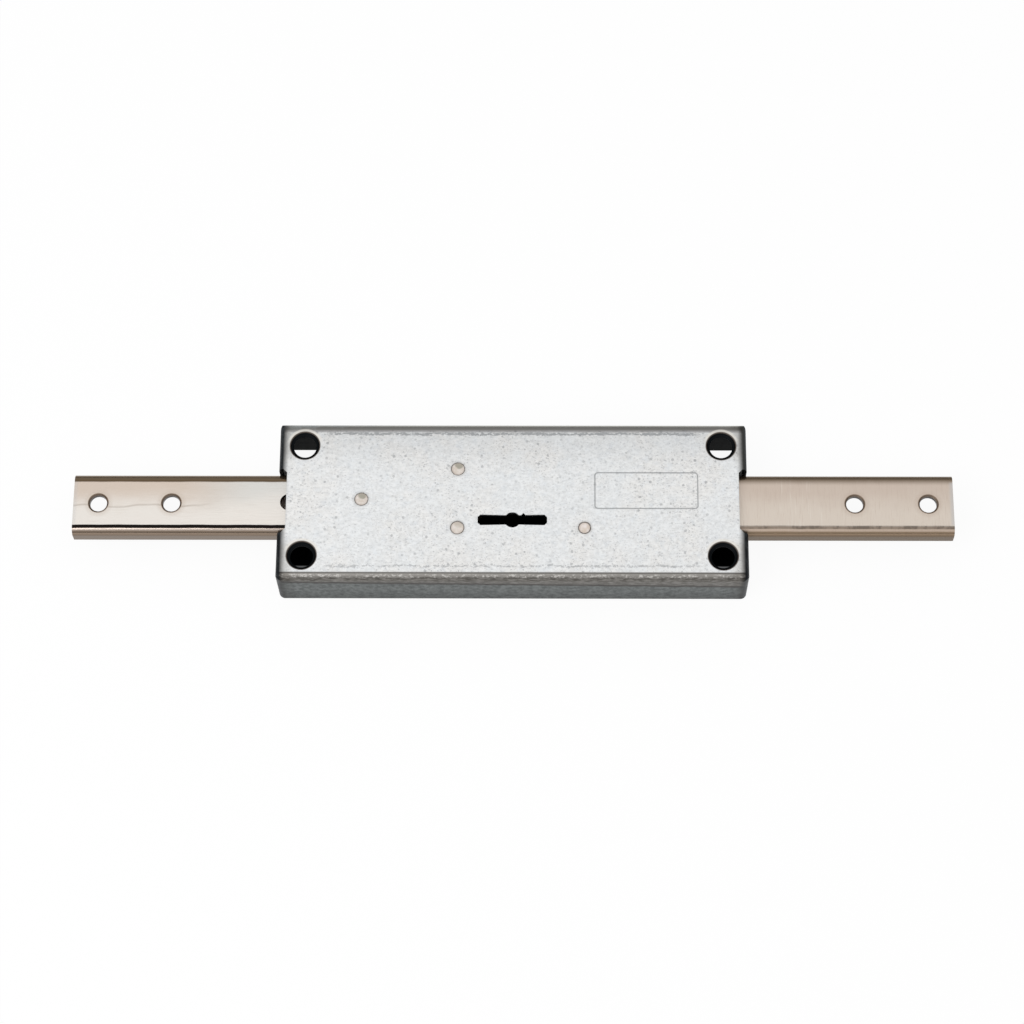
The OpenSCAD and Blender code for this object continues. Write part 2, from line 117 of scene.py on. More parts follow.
# Goes smoothly from low to high while value goes from start to end
def ramp(tree, value, start, end, low=0.0, high=1.0):
    node = tree.nodes.new("ShaderNodeMapRange")
    node.interpolation_type = "SMOOTHSTEP"
    settings = {"Value": value, "From Min": start, "From Max": end, "To Min": low, "To Max": high}
    for name, setting in settings.items():
        feed(tree, node.inputs[name], setting)
    return node.outputs["Result"]


# A ramp whose start and end are measured from a place
def rampFrom(tree, value, place, numbers):
    start, end, *levels = numbers
    return ramp(tree, value, place + start, place + end, *levels)


# 1 between two soft edges, both measured from a place
def bandFrom(tree, value, place, rising, falling):
    return times(tree, rampFrom(tree, value, place, rising), rampFrom(tree, value, place, falling))


def mixColours(tree, factor, first, second, blend="MIX"):
    node = tree.nodes.new("ShaderNodeMix")
    node.data_type = "RGBA"
    node.blend_type = blend
    feed(tree, node.inputs["Factor"], factor)
    feed(tree, [s for s in node.inputs if s.name == "A" and s.type == "RGBA"][0], first)
    feed(tree, [s for s in node.inputs if s.name == "B" and s.type == "RGBA"][0], second)
    return [s for s in node.outputs if s.type == "RGBA"][0]


# Multiplies the colour by the tint, as far as the share says
def tinted(tree, share, colour, tint):
    return mixColours(tree, share, colour, mixColours(tree, 1.0, colour, tint, "MULTIPLY"))


# Multiplies the colour by a single value
def shaded(tree, colour, level):
    grey = tree.nodes.new("ShaderNodeCombineColor")
    for socket in grey.inputs:
        tree.links.new(level, socket)
    return mixColours(tree, 1.0, colour, grey.outputs[0], "MULTIPLY")


def shifted(tree, vector, offset):
    node = tree.nodes.new("ShaderNodeVectorMath")
    node.operation = "ADD"
    tree.links.new(vector, node.inputs[0])
    node.inputs[1].default_value = offset
    return node.outputs[0]


def noise(tree, vector, perMm, detail, roughness, output="Fac"):
    node = tree.nodes.new("ShaderNodeTexNoise")
    tree.links.new(vector, node.inputs["Vector"])
    node.inputs["Scale"].default_value = perMm
    node.inputs["Detail"].default_value = detail
    node.inputs["Roughness"].default_value = roughness
    return node.outputs[output]


# How the dictionaries below describe a noise: its size, detail and roughness, and how its coordinates change
def grainKind(perMm, detail, roughness, stretch=(1, 1, 1), shift=(0, 0, 0)):
    return {"perMm": perMm, "detail": detail, "roughness": roughness, "stretch": stretch, "shift": shift}


def grainOf(tree, kind):
    where = shifted(tree, coordsInMm(tree, kind["stretch"]), kind["shift"])
    return noise(tree, where, kind["perMm"], kind["detail"], kind["roughness"])


# Moves the coordinates by up to amount, so that what is drawn with them has ragged edges
def wobbled(tree, vector, perMm, amount):
    colour = noise(tree, vector, perMm, detail=2.0, roughness=0.6, output="Color")
    node = tree.nodes.new("ShaderNodeVectorMath")
    node.operation = "MULTIPLY_ADD"
    tree.links.new(colour, node.inputs[0])
    node.inputs[1].default_value = (amount, amount, amount)
    tree.links.new(vector, node.inputs[2])
    return node.outputs[0]


# Round spots in some cells of a Voronoi pattern: share of the cells hold one, of up to the given size
def specks(tree, vector, perMm, size, share):
    cell = tree.nodes.new("ShaderNodeTexVoronoi")
    cell.voronoi_dimensions = "2D"
    tree.links.new(vector, cell.inputs["Vector"])
    cell.inputs["Scale"].default_value = perMm
    chance = splitAxes(tree, cell.outputs["Color"])
    grown = ramp(tree, chance[0], 1 - share, 1.0, 0.0, size * perMm)
    softEdge = 0.12 * size * perMm
    return ramp(tree, calc(tree, "SUBTRACT", grown, cell.outputs["Distance"]), 0.0, softEdge)


def bump(tree, shader, height, depthMm, strength):
    node = tree.nodes.new("ShaderNodeBump")
    node.inputs["Strength"].default_value = strength
    node.inputs["Distance"].default_value = depthMm * mm
    tree.links.new(height, node.inputs["Height"])
    tree.links.new(node.outputs["Normal"], shader.inputs["Normal"])


def distanceInPlane(tree, axes, x, y):
    dx = calc(tree, "SUBTRACT", axes["X"], x)
    dy = calc(tree, "SUBTRACT", axes["Y"], y)
    return calc(tree, "SQRT", calc(tree, "ADD", times(tree, dx, dx), times(tree, dy, dy)))


def dress(nodeName, material):
    mesh = frame["nodes"][nodeName].data
    mesh.materials.clear()
    mesh.materials.append(material)


# Case: zinc-coated sheet. A tuple of two or four numbers is a ramp: start, end and its two levels;
# where a comment names a place, start and end are measured from it, in millimetres

zincSheet = {
    "sheet": 1.5,
    "bendRadius": 2.0,
    "metallic": 0.35,
    "dullMetallic": 0.85,
    "specular": 0.15,
    "roughness": (0.2, 0.8, 0.35, 0.48),
    "reliefOfMottle": 0.5,
    "reliefOfMarks": 0.6,
    "reliefDepth": 0.05,
    "reliefStrength": 0.5,
    "insideColour": (0.006, 0.0075, 0.009),
    "insideStart": (-0.22, -0.45),              # from the case's top
    "insideMargin": 0.02,
    "face": {
        "paleColour": (0.875, 0.89, 0.895),
        "blueColour": (0.76, 0.80, 0.84),
        "warmColour": (0.885, 0.88, 0.865),
        "speckColour": (0.36, 0.37, 0.38),
        "patches": grainKind(0.10, 4.0, 0.55),
        "warmPatches": (0.35, 0.65),
        "cloud": grainKind(0.55, 5.0, 0.62),
        "blueClouds": (0.48, 0.72, 0.0, 0.42),
        "mottle": grainKind(1.7, 3.0, 0.6, shift=(7, 3, 1)),
        "blueMottle": (0.5, 0.74, 0.0, 0.24),
        "ragged": {"perMm": 2.2, "amount": 0.5},
        "fineSpecks": {"perMm": 0.80, "size": 0.22, "share": 0.75},
        "fineDepth": 0.34,
        "coarseSpecks": {"perMm": 0.34, "size": 0.40, "share": 0.80},
        "coarseShift": (31, 17, 5),
        "coarseDepth": 0.62,
        "chips": grainKind(2.1, 2.0, 0.8, (0.8, 1.25, 1)),
        "chipDepth": (0.585, 0.65, 0.0, 0.66),
        "fewerMarks": (0.38, 0.62, 0.55, 1.0),
        "dullerFarOff": (6.0, 20.0, 1.0, 0.86),
        "grain": grainKind(1.5, 3.0, 0.65, (0.75, 1, 1)),
        "grainLevel": (0.3, 0.7, 0.915, 1.085),
        "farZone": (-0.9, -0.4),                    # from the far fold's start
        "farZoneTint": (0.57, 0.56, 0.565),
    },
    "pressMarks": {
        "inset": 3.1,
        "nearInset": 0.5,                           # so much further in on the near side
        "drift": grainKind(0.5, 2.0, 0.5, (0.5, 1, 1)),
        "driftReach": 0.45,
        "scuffs": grainKind(1.9, 3.0, 0.75, (0.6, 1.3, 1)),
        "threshold": (0.0, 0.95, 0.38, 0.70),
        "nearThreshold": 0.06,
        "edge": (0.0, 0.08),
        "ends": (50.0, 47.0),
        "depth": 0.95,
        "nearDepth": 0.60,
    },
    "longSides": {
        "start": (-0.12, 0.30),                     # from the fold's start
        "soonerFarOff": -0.4,
        "foldDark": (0.118, 0.110, 0.098),
        "foldPale": (0.31, 0.295, 0.275),
        "foldFleck": (0.62, 0.60, 0.57),
        "foldLine": (0.022, 0.019, 0.016),
        "streaks": grainKind(1.5, 4.0, 0.7, (0.35, 1.6, 1.6)),
        "paleStreaks": (0.38, 0.66),
        "paleUpper": (1.5, 1.1),
        "flecks": grainKind(1.6, 4.0, 0.75, (0.6, 1, 1)),
        "fleckShare": (0.50, 0.60),
        "fleckBand": ((0.5, 0.9), (1.65, 1.25)),
        "darkLine": (0.65, 0.30, 0.0, 0.60),
        "farFoldDark": (0.20, 0.194, 0.183),
        "farFoldPale": (0.52, 0.52, 0.48),
        "farFoldTurn": (0.9, 1.5),
        "wallStart": 11.2,                          # height at which the near fold's brown ends on the wall
        "wallSlope": -0.024,
        "wallSway": grainKind(0.5, 4.0, 0.6, (0.5, 0, 0)),
        "wallSwayReach": 0.8,
        "farWallHigher": 3.0,
        "wallEdge": (0.4, 1.1),
        "blotches": grainKind(0.9, 5.0, 0.7, (0.8, 1, 0.7)),
        "paleBlotches": (0.33, 0.67),
        "wallColour": (0.090, 0.102, 0.103),
        "wallPale": (0.215, 0.235, 0.232),
        "wallFoot": (8.0, 0.5, 1.0, 0.60),
        "farWall": (0.30, 0.32, 0.32),
        "farWallPale": (0.42, 0.44, 0.435),
        "farWallClouds": (0.3, 0.7),
        "seam": ((-0.6, 0.1), (1.4, 0.7)),
        "seamBreaks": (0.30, 0.60, 0.30, 0.95),
    },
    "shortSides": {
        "paleLine": (-0.7, -0.1),                   # this and the next ones from the end fold's start
        "cornerShade": (-3.2, -0.8),
        "turning": (-0.8, 0.9, 1.0, 0.22),
        "start": (0.55, 1.15),
        "paleLineEnds": (0.2, -0.6),                # from the long fold's start
        "paleLineStrength": 0.25,
        "cornerShadeAcross": (10.0, 14.0, 0.0, 0.55),
        "cornerTint": (0.62, 0.60, 0.57),
        "colour": (0.010, 0.013, 0.016),
        "pale": (0.060, 0.068, 0.072),
        "paleClouds": (0.45, 0.8),
        "lit": (0.055, 0.056, 0.052),
        "litLengthways": (0.0, 1.0),
        "litSideways": (6.0, 10.0),
        "litEdge": (-0.2, -0.9),                    # from the case's end
        "lowerHeight": (-1.6, -4.0),                # from the case's top
        "lowerSideways": (1.5, 4.0),                # from the near wall
    },
    "notchEdges": {
        "clearance": 0.47,
        "reach": -0.27,
        "margin": -0.02,
        "top": (-0.1, -0.3),                        # from the case's top
        "foot": (1.0, 0.3),                         # from the notch's foot
        "colour": (0.72, 0.63, 0.57),
    },
    "cornerHoles": {
        "sinkWidth": 1.05,
        "onFace": (-0.6, -0.4),                     # from the case's top
        "pale": (0.9, 0.5),                         # this and the next ones from the countersink's edge
        "dark": (0.18, -0.10),
        "sink": (-0.1, -0.35),
        "paleAbove": (0.5, 2.5),                    # across, from the hole's middle
        "paleStrength": 0.65,
        "rimPale": (0.88, 0.84, 0.77),
        "rimDark": (0.16, 0.13, 0.11),
        "sinkColour": (0.014, 0.017, 0.020),
    },
    "rivetRings": {
        "edge": (0.42, 0.15),                       # this and the next one from the rivet's rim
        "halo": (1.0, 0.3, 0.0, 0.16),
        "mottled": (0.25, 0.6),
        "weakest": 0.35,
    },
    "stampedField": {
        "x": 35.15,
        "y": 2.8,
        "length": 27.3,
        "width": 10.4,
        "radius": 1.0,
        "line": 0.3,
        "lineEdge": (0.12, -0.08),
        "strength": 0.75,
    },
}

# Riveted ends that show in the face: how strong the ring of painted shade round each one and the shade
# painted on it are
rivetedEnds = {
    "left_guide_pin": {"radius": 1.7, "ring": 0.55, "shade": 0.9},
    "upper_lever_post": {"radius": 1.7, "ring": 0.55, "shade": 0.9},
    "lower_lever_post": {"radius": 1.7, "ring": 0.65, "shade": 0.3},
    "rocker_pivot": {"radius": 1.5, "ring": 0.9, "shade": 0.0},
}

foldStart = caseHalfWidth - zincSheet["bendRadius"]
endStart = caseHalfLength - zincSheet["bendRadius"]


# 1 on the walls of holes and inside the folded case, where little light comes
def insideCase(tree, at):
    margin = zincSheet["sheet"] - zincSheet["insideMargin"]
    return times(tree,
                 calc(tree, "LESS_THAN", at["lengthways"], caseHalfLength - margin),
                 calc(tree, "LESS_THAN", at["sideways"], caseHalfWidth - margin),
                 rampFrom(tree, at["height"], caseHeight, zincSheet["insideStart"]))


# The face: warm patches, bluish clouds, dark specks and chips, a fine grain, and painted shade that darkens
# it towards the far side and again just before the far fold
def faceColour(tree, where, at):
    look = zincSheet["face"]
    patches = grainOf(tree, look["patches"])
    warm = ramp(tree, patches, *look["warmPatches"])
    colour = mixColours(tree, warm, look["paleColour"], look["warmColour"])
    colour = mixColours(tree, ramp(tree, at["cloud"], *look["blueClouds"]), colour, look["blueColour"])
    colour = mixColours(tree, ramp(tree, at["mottle"], *look["blueMottle"]), colour, look["blueColour"])
    ragged = wobbled(tree, where, **look["ragged"])
    fine = specks(tree, ragged, **look["fineSpecks"])
    coarse = specks(tree, shifted(tree, ragged, look["coarseShift"]), **look["coarseSpecks"])
    marks = calc(tree, "MAXIMUM", times(tree, fine, look["fineDepth"]),
                 times(tree, coarse, look["coarseDepth"]))
    chips = ramp(tree, grainOf(tree, look["chips"]), *look["chipDepth"])
    marks = times(tree, calc(tree, "MAXIMUM", marks, chips), ramp(tree, patches, *look["fewerMarks"]))
    colour = mixColours(tree, marks, colour, look["speckColour"])
    # painted shade: darker towards the far side, and in a band just before the far fold
    colour = shaded(tree, colour, ramp(tree, at["y"], *look["dullerFarOff"]))
    colour = shaded(tree, colour, ramp(tree, grainOf(tree, look["grain"]), *look["grainLevel"]))
    farZone = rampFrom(tree, at["y"], foldStart, look["farZone"])
    return tinted(tree, farZone, colour, look["farZoneTint"]), marks


# Along each long edge runs a broken line of press marks
def addPressMarks(tree, at, colour):
    look = zincSheet["pressMarks"]
    nearSide = ramp(tree, at["y"], 1.0, -1.0)
    lineAt = calc(tree, "MULTIPLY_ADD", nearSide, -look["nearInset"], caseHalfWidth - look["inset"])
    drift = centred(tree, grainOf(tree, look["drift"]), look["driftReach"])
    offLine = sizeOf(tree, calc(tree, "ADD", calc(tree, "SUBTRACT", at["sideways"], lineAt), drift))
    threshold = calc(tree, "MULTIPLY_ADD", nearSide, look["nearThreshold"],
                     ramp(tree, offLine, *look["threshold"]))
    scuffs = calc(tree, "SUBTRACT", grainOf(tree, look["scuffs"]), threshold)
    marks = times(tree, ramp(tree, scuffs, *look["edge"]), ramp(tree, at["lengthways"], *look["ends"]))
    depth = calc(tree, "MULTIPLY_ADD", nearSide, look["nearDepth"] - look["depth"], look["depth"])
    return mixColours(tree, times(tree, marks, depth), colour, zincSheet["face"]["speckColour"]), marks


# The near fold is painted with light and shade: brown-grey streaks, pale flecks of painted highlight, a dark
# line of painted shade at its top and a pale lower half
def nearFoldColour(tree, down, streaks):
    look = zincSheet["longSides"]
    colour = mixColours(tree, ramp(tree, streaks, *look["paleStreaks"]), look["foldDark"], look["foldPale"])
    colour = mixColours(tree, ramp(tree, down, *look["paleUpper"]), colour, look["foldPale"])
    flecks = times(tree, bandFrom(tree, down, 0.0, *look["fleckBand"]),
                   ramp(tree, grainOf(tree, look["flecks"]), *look["fleckShare"]))
    colour = mixColours(tree, flecks, colour, look["foldFleck"])
    return mixColours(tree, ramp(tree, down, *look["darkLine"]), colour, look["foldLine"])


# The long folds and the walls below them, painted darker than the face as shade, the far fold paler towards
# its outer edge as painted light, with a broken dark seam where the near fold ends
def addLongSides(tree, at, colour):
    look = zincSheet["longSides"]
    isFar = calc(tree, "GREATER_THAN", at["y"], 0.0)
    isNear = calc(tree, "SUBTRACT", 1.0, isFar)
    down = calc(tree, "SUBTRACT", at["sideways"], foldStart)
    streaks = grainOf(tree, look["streaks"])
    turned = ramp(tree, down, *look["farFoldTurn"])
    farFold = mixColours(tree, turned, look["farFoldDark"], look["farFoldPale"])
    fold = mixColours(tree, isFar, nearFoldColour(tree, down, streaks), farFold)

    # painted shade: the walls are darker than the face, the near wall darker still towards its foot
    blotches = ramp(tree, grainOf(tree, look["blotches"]), *look["paleBlotches"])
    wall = mixColours(tree, blotches, look["wallColour"], look["wallPale"])
    wall = shaded(tree, wall, ramp(tree, at["height"], *look["wallFoot"]))
    wall = mixColours(tree, isFar, wall, at["smoothWall"])
    wallStart = calc(tree, "MULTIPLY_ADD", at["x"], look["wallSlope"], look["wallStart"])
    sway = centred(tree, grainOf(tree, look["wallSway"]), look["wallSwayReach"])
    wallStart = calc(tree, "ADD", wallStart, sway)
    wallStart = calc(tree, "MULTIPLY_ADD", isFar, look["farWallHigher"], wallStart)
    below = calc(tree, "SUBTRACT", wallStart, at["height"])
    side = mixColours(tree, ramp(tree, below, *look["wallEdge"]), fold, wall)

    seam = times(tree, bandFrom(tree, below, 0.0, *look["seam"]), ramp(tree, streaks, *look["seamBreaks"]),
                 isNear)
    side = mixColours(tree, seam, side, look["foldLine"])
    start, end = look["start"]
    softStart = calc(tree, "MULTIPLY_ADD", isFar, look["soonerFarOff"], foldStart + start)
    onSide = ramp(tree, at["sideways"], softStart, foldStart + end)
    return mixColours(tree, onSide, colour, side), times(tree, seam, onSide)


# The short folds are painted dark as shade, with a thin pale line where each leaves the face, painted shade
# near the corners and where the face turns into them, and a painted lit patch on the right fold's far part;
# the end walls are zinc again
def addShortSides(tree, at, colour):
    look = zincSheet["shortSides"]
    paleLine = times(tree, rampFrom(tree, at["lengthways"], endStart, look["paleLine"]),
                     rampFrom(tree, at["sideways"], foldStart, look["paleLineEnds"]),
                     look["paleLineStrength"])
    colour = mixColours(tree, paleLine, colour, zincSheet["face"]["warmColour"])
    atCorner = times(tree, rampFrom(tree, at["lengthways"], endStart, look["cornerShade"]),
                     ramp(tree, at["sideways"], *look["cornerShadeAcross"]))
    colour = tinted(tree, atCorner, colour, look["cornerTint"])
    colour = shaded(tree, colour, rampFrom(tree, at["lengthways"], endStart, look["turning"]))

    # painted shade: the end folds are dark, and the right one's far part has a painted lit patch
    fold = mixColours(tree, ramp(tree, at["cloud"], *look["paleClouds"]), look["colour"], look["pale"])
    lit = times(tree, ramp(tree, at["x"], *look["litLengthways"]), ramp(tree, at["y"], *look["litSideways"]),
                rampFrom(tree, at["lengthways"], caseHalfLength, look["litEdge"]))
    fold = mixColours(tree, lit, fold, look["lit"])
    lower = times(tree, rampFrom(tree, at["height"], caseHeight, look["lowerHeight"]),
                  rampFrom(tree, at["y"], -caseHalfWidth, look["lowerSideways"]))
    fold = mixColours(tree, lower, fold, at["smoothWall"])
    return mixColours(tree, rampFrom(tree, at["lengthways"], endStart, look["start"]), colour, fold)


# The cut edges of the notches lie in shade, apart from their foot
def addNotchEdges(tree, at, colour):
    look = zincSheet["notchEdges"]
    inNotch = times(tree,
                    calc(tree, "LESS_THAN", at["sideways"], boltHalfWidth + look["clearance"]),
                    calc(tree, "GREATER_THAN", at["lengthways"], endStart + look["reach"]),
                    rampFrom(tree, at["height"], caseHeight, look["top"]),
                    calc(tree, "GREATER_THAN", at["height"], notchFoot + look["margin"]))
    foot = rampFrom(tree, at["height"], notchFoot, look["foot"])
    edge = mixColours(tree, foot, zincSheet["insideColour"], look["colour"])
    return mixColours(tree, inNotch, colour, edge)


# The countersinks of the corner holes are painted dark as shade, with a brown edge of painted shade and a
# pale arc of painted highlight above each hole
def addCornerHoles(tree, axes, onFace, colour, dull):
    look = zincSheet["cornerHoles"]
    dims = mounts["corner_fixing_holes"]["dims"]
    radius = dims["hole_r_mm"] + look["sinkWidth"]
    for y in (-dims["spacing_y_mm"] / 2, dims["spacing_y_mm"] / 2):
        for x in (-dims["spacing_x_mm"] / 2, dims["spacing_x_mm"] / 2):
            away = distanceInPlane(tree, axes, x, y)
            above = calc(tree, "SUBTRACT", axes["Y"], y)
            pale = times(tree, rampFrom(tree, away, radius, look["pale"]),
                         ramp(tree, above, *look["paleAbove"]), look["paleStrength"])
            dark = times(tree, rampFrom(tree, away, radius, look["dark"]), onFace)
            sink = times(tree, rampFrom(tree, away, radius, look["sink"]), onFace)
            colour = mixColours(tree, pale, colour, look["rimPale"])
            colour = mixColours(tree, dark, colour, look["rimDark"])
            colour = mixColours(tree, sink, colour, look["sinkColour"])
            dull = calc(tree, "MAXIMUM", dull, sink)
    return colour, dull


# Each riveted end has a brown ring of painted shade round it and a soft halo of painted shade beyond
def addRivetRings(tree, axes, at, onFace, colour):
    look = zincSheet["rivetRings"]
    brown = zincSheet["cornerHoles"]["rimDark"]
    for nodeName, rivet in rivetedEnds.items():
        x, y, _ = centreInMm(nodeName)
        away = distanceInPlane(tree, axes, x, y)
        strength = ramp(tree, at["mottle"], *look["mottled"], look["weakest"] * rivet["ring"], rivet["ring"])
        ring = times(tree, rampFrom(tree, away, rivet["radius"], look["edge"]), onFace, strength)
        halo = times(tree, rampFrom(tree, away, rivet["radius"], look["halo"]), onFace)
        colour = mixColours(tree, calc(tree, "MAXIMUM", ring, halo), colour, brown)
    return colour


# 1 along a rounded rectangle's outline: distance to its edge is length(max(|p| - half + r, 0)) - r
def stampedLine(tree, axes):
    shape = zincSheet["stampedField"]
    sides = []
    for axis, middle, length in (("X", shape["x"], shape["length"]), ("Y", shape["y"], shape["width"])):
        away = sizeOf(tree, calc(tree, "SUBTRACT", axes[axis], middle))
        sides.append(calc(tree, "ADD", calc(tree, "SUBTRACT", away, length / 2), shape["radius"]))
    outside = [calc(tree, "MAXIMUM", side, 0.0) for side in sides]
    corner = calc(tree, "SQRT", calc(tree, "ADD", *(times(tree, part, part) for part in outside)))
    inner = calc(tree, "MINIMUM", calc(tree, "MAXIMUM", *sides), 0.0)
    edge = calc(tree, "SUBTRACT", calc(tree, "ADD", corner, inner), shape["radius"])
    fromMiddle = sizeOf(tree, calc(tree, "ADD", edge, shape["line"] / 2))
    return rampFrom(tree, fromMiddle, shape["line"] / 2, shape["lineEdge"])


def makeZincSheet():
    look = zincSheet
    material, tree, shader = newMaterial("zincSheet")
    where = coordsInMm(tree)
    axes = splitAxes(tree, where)
    at = {
        "x": axes["X"],
        "y": axes["Y"],
        "height": axes["Z"],
        "lengthways": sizeOf(tree, axes["X"]),
        "sideways": sizeOf(tree, axes["Y"]),
        "cloud": grainOf(tree, zincSheet["face"]["cloud"]),
        "mottle": grainOf(tree, zincSheet["face"]["mottle"]),
    }
    at["smoothWall"] = mixColours(tree, ramp(tree, at["cloud"], *zincSheet["longSides"]["farWallClouds"]),
                                  zincSheet["longSides"]["farWall"], zincSheet["longSides"]["farWallPale"])
    onFace = rampFrom(tree, at["height"], caseHeight, zincSheet["cornerHoles"]["onFace"])

    colour, marks = faceColour(tree, where, at)
    colour, pressed = addPressMarks(tree, at, colour)
    colour, dull = addLongSides(tree, at, colour)
    colour = addShortSides(tree, at, colour)
    colour = addNotchEdges(tree, at, colour)
    colour, dull = addCornerHoles(tree, axes, onFace, colour, dull)
    colour = addRivetRings(tree, axes, at, onFace, colour)
    line = times(tree, stampedLine(tree, axes), zincSheet["stampedField"]["strength"])
    colour = mixColours(tree, line, colour, zincSheet["face"]["speckColour"])
    colour = mixColours(tree, insideCase(tree, at), colour, look["insideColour"])

    tree.links.new(colour, shader.inputs["Base Color"])
    metallic = calc(tree, "MULTIPLY_ADD", dull, look["dullMetallic"] - look["metallic"], look["metallic"])
    tree.links.new(metallic, shader.inputs["Metallic"])
    shader.inputs["Specular IOR Level"].default_value = look["specular"]
    tree.links.new(ramp(tree, at["cloud"], *look["roughness"]), shader.inputs["Roughness"])
    relief = calc(tree, "SUBTRACT", times(tree, at["mottle"], look["reliefOfMottle"]),
                  times(tree, marks, look["reliefOfMarks"]))
    bump(tree, shader, calc(tree, "SUBTRACT", relief, pressed), look["reliefDepth"], look["reliefStrength"])
    return material


# Bolts: nickel-plated channels, the left one brighter

nickelBright = {
    "lowColour": (0.95, 0.90, 0.84),
    "highColour": (0.775, 0.66, 0.565),
    "nearCase": (0.808, 0.795, 0.760),
    "streakColour": (0.62, 0.52, 0.43),
    "streakShare": 0.25,
    "roughness": (0.16, 0.28),
    "grainStretch": (0.03, 1.0, 1.0),
    "stripColour": (0.206, 0.152, 0.102),
    "stripInner": (0.135, 0.093, 0.055),
    "stripEdge": (-0.47, -0.07),                # from where the web's flat ends
    "lineStrength": 1.0,
    "ridgeTint": (0.46, 0.41, 0.38),
    "flangeColour": (0.26, 0.197, 0.149),
    "flangeTop": 1.35,
    "flangeLow": 0.75,
    "endGrey": 0.25,
    "creaseEnds": (-78.0, -86.0),
    "scratchEnds": None,
}
nickelSatin = {
    "lowColour": (0.78, 0.69, 0.60),
    "highColour": (0.685, 0.575, 0.49),
    "nearCase": (0.685, 0.575, 0.49),
    "streakColour": (0.56, 0.45, 0.37),
    "streakShare": 0.4,
    "roughness": (0.28, 0.40),
    "grainStretch": (1.0, 0.05, 0.3),
    "stripColour": (0.168, 0.120, 0.077),
    "stripInner": (0.168, 0.120, 0.077),
    "stripEdge": (-1.28, 1.02),
    "lineStrength": 0.65,
    "ridgeTint": (0.72, 0.65, 0.60),
    "flangeColour": (0.22, 0.159, 0.108),
    "flangeTop": 1.80,
    "flangeLow": 0.73,
    "endGrey": 0.55,
    "creaseEnds": None,
    "scratchEnds": ((68.0, 70.0), (84.0, 81.0)),
}
boltShape = {
    "bendRadius": 2.2,
    "metallic": 0.85,
    "reliefOfGrain": 0.4,
    "reliefDepth": 0.02,
    "reliefStrength": 0.4,
    "roughGrain": (0.2, 0.8),
    "clouds": grainKind(0.14, 4.0, 0.55, (0.5, 1, 1)),
    "cloudReach": 4.0,
    "grainSize": {"perMm": 4.0, "detail": 3.0, "roughness": 0.7},
    "palerAcross": (-3.5, 5.5),
    "palerToCase": (-90.0, -66.0),
    "streaks": (0.5, 0.75),
    "scratches": grainKind(2.4, 2.0, 0.7, (1.0, 0.04, 0.04)),
    "scratchShare": (0.56, 0.66),
    "scratchStrength": 0.22,
    "scratchColour": (0.95, 0.90, 0.82),
    "rodHoles": {
        "sinkWidth": 0.4,
        "shade": (1.6, 0.3, 0.0, 0.30),             # this and the next ones from the brown edge's outside
        "rim": (0.24, -0.02),
        "sink": (-0.05, -0.30),
        "rimColour": (0.30, 0.22, 0.16),
        "sinkColour": (0.26, 0.20, 0.16),
    },
    "crease": {
        "clouds": (0.2, 0.5, 0.5, 1.0),
        "sway": grainKind(0.4, 1.0, 0.5, (0.3, 0.01, 0.01)),
        "swayReach": 1.2,
        "place": -0.7,
        "width": 0.45,
        "strength": 0.35,
        "depth": 0.6,
    },
    "bends": {
        "wave": grainKind(0.5, 2.0, 0.5, (0.3, 0.01, 0.01)),
        "waveReach": 0.12,
        "stripTurn": (0.0, 1.0),                    # this and the next ones from where the web's flat ends
        "ridge": (-0.05, 0.2),
        "line": ((-0.27, -0.09), (0.87, 0.63)),
        "nearFlange": (1.20, 1.45),
        "farFlange": (1.6, 2.1),
        "web": (0.1, -0.6),
        "breaks": grainKind(0.8, 3.0, 0.7, (0.4, 0.3, 0.3)),
        "breakShare": (0.40, 0.60),
        "lineColour": (0.007, 0.004, 0.003),
        "nearFlangeDrop": (0.25, 0.5),              # this and the next ones down from the web's top
        "flangeTopDrop": (1.0, 1.4),
        "flangeLowDrop": (1.4, 2.2),
        "farFlangeDrop": (1.6, 2.6),
        "sunkDrop": (0.32, 0.6),
        "farFlangeColour": (0.46, 0.41, 0.36),
        "tip": (-1.3, -0.3),                        # from the bolt's end
        "tipColour": (0.60, 0.61, 0.62),
        "sunkColour": (0.030, 0.022, 0.018),
    },
}

boltFlat = boltHalfWidth - boltShape["bendRadius"]


# The plating: paler towards the near edge, streaked along its grain
def platingColour(tree, look, axes, clouds, grain):
    shape = boltShape
    toCase = ramp(tree, axes["X"], *shape["palerToCase"])
    high = mixColours(tree, toCase, look["highColour"], look["nearCase"])
    rise = calc(tree, "ADD", axes["Y"], centred(tree, clouds, shape["cloudReach"]))
    colour = mixColours(tree, ramp(tree, rise, *shape["palerAcross"]), look["lowColour"], high)
    streaks = times(tree, ramp(tree, grain, *shape["streaks"]), look["streakShare"])
    return mixColours(tree, streaks, colour, look["streakColour"])


# A few pale scratches run across the satin bolt
def addScratches(tree, look, axes, colour):
    shape = boltShape
    scratches = ramp(tree, grainOf(tree, shape["scratches"]), *shape["scratchShare"])
    where = bandFrom(tree, axes["X"], 0.0, *look["scratchEnds"])
    strength = times(tree, scratches, where, shape["scratchStrength"])
    return mixColours(tree, strength, colour, shape["scratchColour"])


